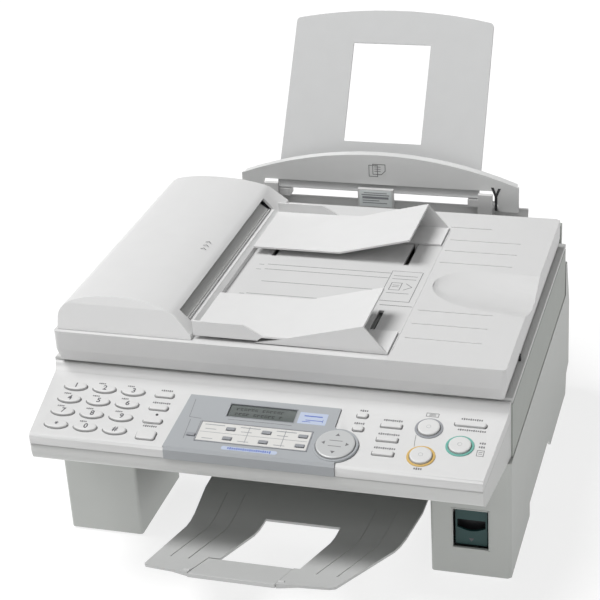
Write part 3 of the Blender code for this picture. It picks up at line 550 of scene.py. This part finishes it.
def key_places():
    """Every key: node, outline, x, s, rise."""
    keys = []
    digits = ["1", "2", "3", "4", "5", "6", "7", "8", "9", "star", "0", "hash"]
    for i, digit in enumerate(digits):
        keys.append((f"key_{digit}", oval(13.2, 6.2), *dial_place(i), KEY_RISE))
    for row, name in enumerate(("speaker", "redial", "tone", "monitor")):
        half_s = 3.6 if row < 3 else 6.2
        shift = 0.0 if row < 3 else -2.0
        s = 79.0 - ROW_STEP * row + shift
        keys.append((f"key_{name}", rounded(10.4, half_s, 3.2), -117.3, s, KEY_RISE))
    for row, name in enumerate(("help", "menu")):
        keys.append((f"key_{name}", rounded(5.6, 3.4, 2.6), 104.8, 77.6 - 20.2 * row, KEY_RISE))
    for row, name in enumerate(("auto_answer", "resolution", "broadcast")):
        keys.append((f"key_{name}", rounded(11.0, 3.2, 1.6), 138.4, 66.5 - 20.6 * row, KEY_RISE))
    keys.append(("key_quick_scan", rounded(16.4, 3.2, 2.6), 219.5, 79.5, KEY_RISE))
    for name, x, s in ROUND_KEYS:
        keys.append((f"key_{name}", circle(11.6, 48), x, s, 3.2))
    keys.append(("key_scroll", circle(NAV_RADIUS, 64), *NAV_KEY, 4.2))
    return keys


def key_cap(node, outline, x, s, rise, look):
    """A cap with softly rounded shoulders and a slightly domed top."""
    rings = []
    shoulder = ((0.0, rise - 1.1), (0.18, rise - 0.6), (0.7, rise - 0.2), (1.6, rise - 0.05), (3.0, rise))
    for inset, n in ((0.0, -5.5), *shoulder):
        ring = []
        for a, b in outline:
            length = math.hypot(a, b)
            k = max(0.05, (length - inset) / length)
            ring.append((x + a * k, s + b * k, n))
        rings.append(ring)
    thing = piece(node + "_cap", moved(stack(rings), PANEL), body_of_node(node), look, angle=50)
    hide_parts(node)


def keys():
    prints = {"star": "*", "hash": "#"}
    for node, outline, x, s, rise in key_places():
        key_cap(node, outline, x, s, rise, "nav" if node == "key_scroll" else "key")
        name = node.removeprefix("key_")
        if name in prints or name.isdigit():
            sign = prints.get(name, name)
            low = 1.6 if name == "star" else 0.0
            figure(f"{node}_sign", sign, x + 1.0, s - low, rise, 9.6, body_of_node(node), "print")

    # scroll key: four arrows and a hollow middle
    x, s = NAV_KEY
    arrows = []
    for turn in range(4):
        spin = Matrix.Rotation(math.pi / 2 * turn, 4, "Z")
        shape = prism([(14.8, 0), (11.2, 2.4), (11.2, -2.4)], 4.15, 4.32)
        arrows.append(moved(moved(shape, Matrix.Translation((x, s, 0)) @ spin), PANEL))
    places = [(x, s + 4.0, 14.0, 0.7), (x, s - 4.0, 14.0, 0.7)]
    arrows += bars(places, 4.15, PANEL)
    piece("key_scroll_marks", arrows, body_of_node("key_scroll"), "print_grey")

    for name, x, s in ROUND_KEYS:
        node = f"key_{name}"
        dimple = ring_band(x, s, 1.9, 2.7, 3.0, 3.3, PANEL, 24)
        piece(f"{node}_mark", dimple, body_of_node(node), "grey_ring")

    # one-touch keys, the single one left of them, and the plate that joins them below
    cap = rounded(4.6, 2.0, 0.8, 3)
    places = [(key_x, key_s) for key_x in STATION_COLUMNS for key_s in (STATION_HIGH, STATION_LOW)]
    places.append((-69.1, 23.4))
    caps = [on_panel(cap, key_x, key_s, -3.6, 3.0) for key_x, key_s in places]
    caps.append(on_panel(rectangle(-74, 56, 19, 40), 0, 0, -6.2, -3.3))
    thing = piece("one_touch_keys", caps, body_of_node("station_keys"), "grey_ring", 0.4)
    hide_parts("station_keys")


# ---------------------------------------------------------------- console trim


def key_wells():
    """Painted shadow of the gaps: a thin dark strip round each key but the scroll key."""
    gap = 0.75
    shapes = []
    for node, outline, x, s, _ in key_places():
        if node == "key_scroll":
            continue
        ring = []
        for a, b in outline:
            length = math.hypot(a, b)
            ring.append((x + a * (1 + gap / length), s + b * (1 + gap / length)))
        shapes += outline_strip(ring, gap, 0.0, 0.12, PANEL)
    piece("key_wells", shapes, "top_unit", "painted_gap_shade")


def console_trim():
    skin = 0.02
    words = []
    for i in (1, 2, 3, 4, 5, 6, 7, 8, 10):  # the dial keys that have letters
        x, s = dial_place(i)
        words += legend(x - 5.5, s + 8.9, 8.5, 1.5, 0.6)
    words += legend(-117, 87.0, 15, 1.8) + legend(-117, 67.2, 21, 1.8) + legend(-118, 30.6, 17, 2.0)
    words += legend(104.8, 85.6, 10, 2.0) + legend(104.0, 66.0, 13, 2.0)
    words += legend(138.4, 75.0, 21, 2.0) + legend(138.4, 54.2, 23, 2.0) + legend(138.4, 33.6, 25, 2.0)
    words += legend(219.5, 87.8, 24, 2.0) + legend(222, 71.6, 30, 1.8)
    words += legend(178, 9.4, 11, 2.2) + legend(236.5, 54.5, 9, 2.0) + legend(236.5, 49.0, 9, 2.0)
    piece("console_legends", bars(words, skin, PANEL), "top_unit", "print_grey")

    # generic icons: a page over the copy key and one beside the start key
    icon = outline_strip(rectangle(171, 184, 86.5, 91.5), 0.6, skin, skin + INK, PANEL)
    icon += outline_strip(rectangle(233, 240, 36, 44), 0.6, skin, skin + INK, PANEL)
    text = [(177.5, 89.9, 7, 0.6), (177.5, 88.2, 7, 0.6), (236.5, 41.5, 4, 0.6), (236.5, 39, 4, 0.6)]
    icon += bars(text, skin, PANEL)
    piece("console_icons", icon, "top_unit", "print_grey")
    piece("memory_lamp", on_panel(circle(1.5, 16), -116, 48.8, -0.5, 0.5), "top_unit", "dark", 0.2)

    for (name, x, s), look in zip(ROUND_KEYS, ("grey_ring", "amber_ring", "teal_ring")):
        piece(f"{name}_ring", ring_band(x, s, 12.3, 14.9, -0.5, 0.9, PANEL), "top_unit", look)
    path = [(166.5, 56.8), (167.0, 48.0), (168.0, 40.5)]
    link = outline_strip(path, 0.5, skin, skin + INK, PANEL, False)
    piece("ring_link", link, "top_unit", "print_grey")
    surround = ring_band(*NAV_KEY, NAV_RADIUS + 0.6, NAV_RADIUS + 3.2, 1.2, 2.4, PANEL, 64)
    piece("scroll_surround", surround, "top_unit", "bezel")


def station_card():
    """A white card round the one-touch keys, in strips so the keys stand in holes."""
    low, high = BEZEL_TOP - 0.1, BEZEL_TOP + 0.35
    half_a, half_b = 5.4, 2.8
    left, right = -62.0, 58.5
    shapes = []
    edges = [16.5]
    for key_s in (STATION_LOW, STATION_HIGH):
        edges += [key_s - half_b, key_s + half_b]
    edges.append(44.0)
    for row, (a, b) in enumerate(zip(edges, edges[1:])):
        start = left
        if row % 2:
            for key_x in STATION_COLUMNS:
                shapes.append(on_panel(rectangle(start, key_x - half_a, a, b), 0, 0, low, high))
                start = key_x + half_a
        shapes.append(on_panel(rectangle(start, right, a, b), 0, 0, low, high))
    piece("station_card", shapes, "top_unit", "paper")
    words = []
    for x in (-46, -6.5, 33):
        words += [(x - 1, 40.6, 22, 1.0), (x - 4, 34.2, 12, 0.8), (x - 4, 20.0, 12, 0.8)]
    words += [(-8.6, 30.4, 0.7, 24), (31.0, 30.4, 0.7, 24), (-2, 29.4, 118, 0.5)]
    piece("station_card_lines", bars(words, high - 0.02, PANEL, 0.08), "top_unit", "grey_ring")
    rim = outline_strip(rectangle(left - 0.8, right + 0.8, 15.7, 44.8), 1.0, low, high + 0.25, PANEL)
    piece("station_card_frame", rim, "top_unit", "grey_ring")


def display_trim():
    top = BEZEL_TOP
    # a window frame, and two rows of plain blocks on the display
    rim = outline_strip(rectangle(-39.8, 35.2, 55.4, 75.8), 0.8, top - 0.1, top + 0.2, PANEL)
    piece("display_frame", rim, "top_unit", "grey_ring")
    blocks = []
    for row, s in enumerate((69.6, 62.0)):
        for i in range(13):
            if (i * 5 + row * 3) % 7 == 2:
                continue
            x = -30 + i * 4.1
            foot = x + (i % 3 - 1) * 0.9
            blocks += [(x, s + 1.1, 2.8, 0.8), (x - 1.0, s - 0.4, 0.8, 2.6), (foot, s - 1.4, 1.6, 0.8)]
    piece("display_marks", bars(blocks, 0.42, PANEL, 0.06), "top_unit", "lcd_ink")

    label = on_panel(rounded(15.4, 8.6, 1.0), 54.0, 64.4, top - 0.05, top + 0.12)
    piece("blue_label", label, "top_unit", "pale_blue")
    words = [(54, 67.8, 20, 1.6), (56, 61.6, 19, 1.0), (48, 59.2, 9, 0.8), (65.5, 61.8, 0.6, 5.0)]
    piece("blue_label_marks", bars(words, top + 0.1, PANEL, 0.08), "top_unit", "blue")
    strip = on_panel(rounded(30.5, 2.6, 2.5), -0.5, 8.9, top - 0.05, top + 0.12)
    piece("blue_strip", strip, "top_unit", "pale_blue")
    words = legend(-0.5, 8.9, 50, 2.4, 0.9)
    piece("blue_strip_marks", bars(words, top + 0.1, PANEL, 0.08), "top_unit", "blue")

    # engraved lines on the surround
    lines = []
    for path in (
        [(-80.5, 77), (-79.0, 49.5), (-66, 48.6)],
        [(-76.5, 45.6), (-75.5, 16.8)],
        [(-64.5, 45.0), (-64.0, 17.5)],
        [(-36, 51.4), (34, 51.4)],
    ):
        lines += outline_strip(path, 0.45, top - 0.05, top + 0.1, PANEL, False)
    piece("surround_lines", lines, "top_unit", "print_grey")


# ---------------------------------------------------------------- lid trim


def lid_trim():
    top = COVER_TOP
    lines = []
    for y in (338.5, 302.5, 271.5, 239.0):
        first, last = (126, 176) if y > 330 else (132, 217)
        lines.append(box(first, last, y, y + 1.3, top - 0.1, top + 0.8))
    for y in (115.0, 83.0, 49.5):
        lines.append(box(134, 217, y, y + 1.3, top - 0.1, top + 0.8))
    # channel between the guides: its edge and the page width marks
    lines.append(box(126.6, 127.5, 20, 336, top - 0.1, top + 0.3))
    piece("cover_ribs", lines, "lid", "cover", 0.15)
    marks = []
    for y, x0, x1 in ((188.8, -66, 84), (157.2, -60, 86), (124.2, -68, 84), (201.6, -66, 84)):
        marks.append(box(x0, x1, y, y + 0.7, top, top + 0.12))
    for y in (188.8, 124.2, 201.6):
        marks.append(box(-76, -70, y - 1.6, y - 0.9, top, top + 0.12))
    marks.append(box(89, 126, 121.0, 121.9, top, top + 0.15))
    piece("page_width_marks", marks, "lid", "print_grey")
    card = rectangle(84, 120, 132, 208)
    piece("guide_label", prism(card, top, top + 0.12), "lid", "cover")
    icon = outline_strip(card, 0.6, top + 0.1, top + 0.2, FLAT)
    icon += outline_strip(rectangle(90, 102, 160, 178), 0.7, top + 0.1, top + 0.2, FLAT)
    icon += outline_strip([(107, 161), (115, 169), (107, 177)], 0.8, top + 0.1, top + 0.2, FLAT, False)
    text = [(96, 172, 8), (96, 168, 8), (102, 152, 26), (102, 188, 28), (102, 196, 28)]
    icon += bars([(*place, 0.7) for place in text], top + 0.1, FLAT)
    piece("guide_label_icon", icon, "lid", "print_grey")
    # painted shade: a dark box on the lid's side stands for the shadowed inside of a slot
    piece("cover_side_slot_shade", box(250.6, 252.8, 86, 91, 219, 228), "lid", "dark", 0.2)


def feeder_trim():
    floor = [(-119, 275.5), (-116.5, 277.5), (-101.6, 266.8), (-101.6, 262.2), (-119, 262.2)]
    piece("feeder_floor", prism(floor, 29, 333, "y"), "lid", "light", 0.25)
    rails = []
    for x in (-105.6, -102.8):
        rails.append(box(x, x + 0.8, 30, 332, 266.0, 270.6))
    piece("feeder_floor_rails", rails, "lid", "cover", 0.2)
    # the arrows lie along the feeder's sloping top
    to_origin = Matrix.Translation((130, -170, -292.0))
    tilt = Matrix.Translation((-130, 170, 291.0)) @ Matrix.Rotation(math.radians(12), 4, "Y") @ to_origin
    marks = []
    for k in range(3):
        y = 162 + 9 * k
        marks += outline_strip([(-133, y), (-130, y + 3), (-127, y)], 0.6, 292.1, 292.35, FLAT, False)
    piece("feeder_mark", [moved(m, tilt) for m in marks], "feeder_cover", "print_grey")


# ---------------------------------------------------------------- paper trim


def paper_trim():
    front = Matrix.Translation((0, ARCH_FRONT, 0)) @ UPRIGHT
    icon = outline_strip(rectangle(6, 17, 288, 303), 0.7, 0.0, 0.25, front)
    page = [(11, 291), (22, 291), (27, 296), (27, 304.5), (11, 304.5)]
    icon += outline_strip(page, 0.7, 0.0, 0.25, front)
    icon += bars([(17, 301, 8, 0.6), (17, 298, 8, 0.6), (17, 295, 8, 0.6)], 0.0, front, 0.2)
    piece("page_icon", icon, "paper_tensioner", "print_grey")
    # painted shade: a dark Y-shaped sheet on the arch's face stands for the shadowed inside of its slot
    stem = [(166, 251), (169.5, 251), (169.5, 270)]
    fork = stem + [(174, 281), (170.5, 281), (167.8, 274), (165, 282), (161.5, 282), (166, 270)]
    piece("arch_slot_shade", moved(prism(fork, -0.2, 0.25), front), "paper_tensioner", "dark")

    card = Matrix.Translation((0, HOPPER_CARD_Y, 0)) @ UPRIGHT
    label = moved(prism(rectangle(-6, 36, 250, 271.5), 0.0, 0.25), card)
    piece("hopper_label", label, "base", "pale_green")
    words = [(15, 268.4, 30, 1.0), (15, 265.6, 36, 1.4), (15, 262.0, 34, 3.0)]
    words += [(9, 258.0, 22, 1.0), (14, 254.8, 32, 1.0)]
    piece("hopper_label_marks", bars(words, 0.2, card, 0.12), "base", "grey_ring")


def tray_trim():
    """Ribs along the arms, two on each."""
    profile = [(60, 27), (12, 27), (-8, 29.5), (-26, 34.5), (-44, 41.5), (-150, 83.7)]
    back, front = profile[0][0], profile[-1][0]
    shapes = []
    for x_back, x_front in ((-88, -77), (-66, -57), (92, 82), (116, 104)):
        rings = []
        for y, z in profile:
            share = (back - y) / (back - front)
            x = x_back + (x_front - x_back) * share
            foot, crest = z - 0.4, z + 0.8
            rings.append([(x - 0.8, y, foot), (x + 0.8, y, foot), (x + 0.5, y, crest), (x - 0.5, y, crest)])
        shapes.append(stack(rings))
    piece("tray_ribs", shapes, "base", "tray")


# ---------------------------------------------------------------- legs, sides and back


def leg_trim():
    round_node("release_lever", "teal", [], 0.5)
    lip = outline_strip(rectangle(194.4, 234.6, 35.9, 86.6), 1.2, 8.0, 8.5, UPRIGHT)
    piece("lever_window_lip", lip, "base", "leg", 0.2)
    # painted shade: a dark sheet at the back of the lever's window, where the pocket's shadow falls
    piece("lever_pocket_shade", box(196, 233, 7.5, 8.5, 36, 88), "base", "dark")
    mark = moved(prism([(211.5, 47), (217.5, 47), (214.5, 42.5)], 3.6, 3.75), UPRIGHT)
    piece("lever_mark", mark, "lever", "print")
    pads = []
    for side in (-1, 1):
        for foot_x, foot_y in ((214, 22), (214, 92), (228, 342)):
            pads.append(disc(side * foot_x, foot_y, 0.02, 3.0, 9.4, 32))
    piece("foot_pads", pads, "base", "rubber", 0.4)


def rear_trim():
    """Vents painted as dark shade, screws, a blank rating plate, contacts in the jacks and pins in the power
    inlet.
    """
    back = Matrix.Translation((0, 430, 35)) @ Matrix.Rotation(math.atan2(3.5, 93), 4, "X") @ UPRIGHT
    back = back @ Matrix.Rotation(math.pi, 4, "Y")
    # painted shade: dark bars on the back stand for the shadowed insides of the vent slots
    slots = []
    for i in range(14):
        slots += bars([(-120 + 9 * i, 60, 3.2, 34)], 0.0, back, 0.2)
    piece("rear_vent_shade", slots, "base", "dark")
    piece("rating_plate", bars([(70, 55, 70, 40)], 0.0, back, 0.2), "base", "paper")
    lines = [(70, 66, 52, 1.6), (70, 60, 58, 1.0), (70, 56, 58, 1.0), (62, 50, 40, 1.0), (70, 44, 50, 1.0)]
    piece("rating_plate_lines", bars(lines, 0.18, back, 0.1), "base", "print_grey")
    screws = []
    for x in (-240, -80, 80, 240):
        for s in (12, 84):
            screws.append(moved(disc(x, s, 0.0, 0.5, 3.4, 20), back))
    piece("rear_screws", screws, "base", "steel", 0.15)
    pins = [box(x - 1.2, x + 1.2, 407, 421, 60, 66) for x in (213.5, 220, 226.5)]
    piece("inlet_pins", pins, "base", "brass", 0.3)
    contacts = []
    for y0 in (290.0, 312.0):
        for k in range(4):
            y = y0 + 5.3 + 1.6 * k
            contacts.append(box(-250, -241, y, y + 0.6, 71.4, 72.6))
    piece("jack_contacts", contacts, "base", "brass")
    # painted shade: dark strips on the left side stand for the shadowed insides of its vents
    vents = []
    for i in range(10):
        vents.append(box(-259.0, -258.7, 180 + 8 * i, 183 + 8 * i, 96, 128))
    piece("left_vent_shade", vents, "base", "dark")


# ---------------------------------------------------------------- camera, floor and light


def white_sweep():
    """White paper that glows a little, as a lit product table does."""
    material = smooth("floor_paper", (FLOOR_SHADE, FLOOR_SHADE, FLOOR_SHADE), 0.9)
    shader = material.node_tree.nodes["Principled BSDF"]
    shader.inputs["Emission Color"].default_value = (1.0, 1.0, 1.0, 1.0)
    shader.inputs["Emission Strength"].default_value = FLOOR_GLOW
    return material


def studio():
    bm = bmesh.new()
    bmesh.ops.create_grid(bm, x_segments=1, y_segments=1, size=FLOOR_HALF)
    mesh = bpy.data.meshes.new("floor")
    bm.to_mesh(mesh)
    bm.free()
    mesh.materials.append(white_sweep())
    floor = bpy.data.objects.new("floor", mesh)
    bpy.context.scene.collection.objects.link(floor)
    floor.location.z = -FLOOR_DROP

    sky = bpy.data.worlds.new("studio")
    sky.use_nodes = True
    sky.node_tree.nodes["Background"].inputs["Color"].default_value = (1.0, 1.0, 1.0, 1.0)
    sky.node_tree.nodes["Background"].inputs["Strength"].default_value = WORLD_LIGHT
    bpy.context.scene.world = sky

    for name, direction, strength, spread in LIGHTS:
        lamp = bpy.data.lights.new(name, "SUN")
        lamp.energy = strength
        lamp.angle = math.radians(spread)
        thing = bpy.data.objects.new(name, lamp)
        thing.rotation_mode = "QUATERNION"
        thing.rotation_quaternion = Vector(direction).to_track_quat("Z", "Y")
        thing.location = (0, 0, 2)
        bpy.context.scene.collection.objects.link(thing)
    bpy.context.scene.view_settings.view_transform = "Standard"


def camera():
    azimuth, elevation, roll = (math.radians(a) for a in CAMERA_TURN)
    level = math.cos(elevation)
    back = Vector((math.sin(azimuth) * level, -math.cos(azimuth) * level, math.sin(elevation)))
    right = (-back).cross(Vector((0, 0, 1))).normalized()
    up = right.cross(-back)
    side = right * math.cos(roll) + up * math.sin(roll)
    top = up * math.cos(roll) - right * math.sin(roll)
    data = bpy.data.cameras.new("camera")
    data.sensor_width = CAMERA_SENSOR
    data.lens = CAMERA_LENS
    data.clip_start, data.clip_end = 0.05, 50.0
    thing = bpy.data.objects.new("camera", data)
    turn = Matrix((side, top, back)).transposed().to_4x4()
    thing.matrix_world = Matrix.Translation(world(CAMERA_PLACE)) @ turn
    bpy.context.scene.collection.objects.link(thing)
    bpy.context.scene.camera = thing


camera()
studio()
casing()
lid()
paper_parts()
insides()
keys()
key_wells()
console_trim()
station_card()
display_trim()
lid_trim()
feeder_trim()
paper_trim()
tray_trim()
leg_trim()
rear_trim()
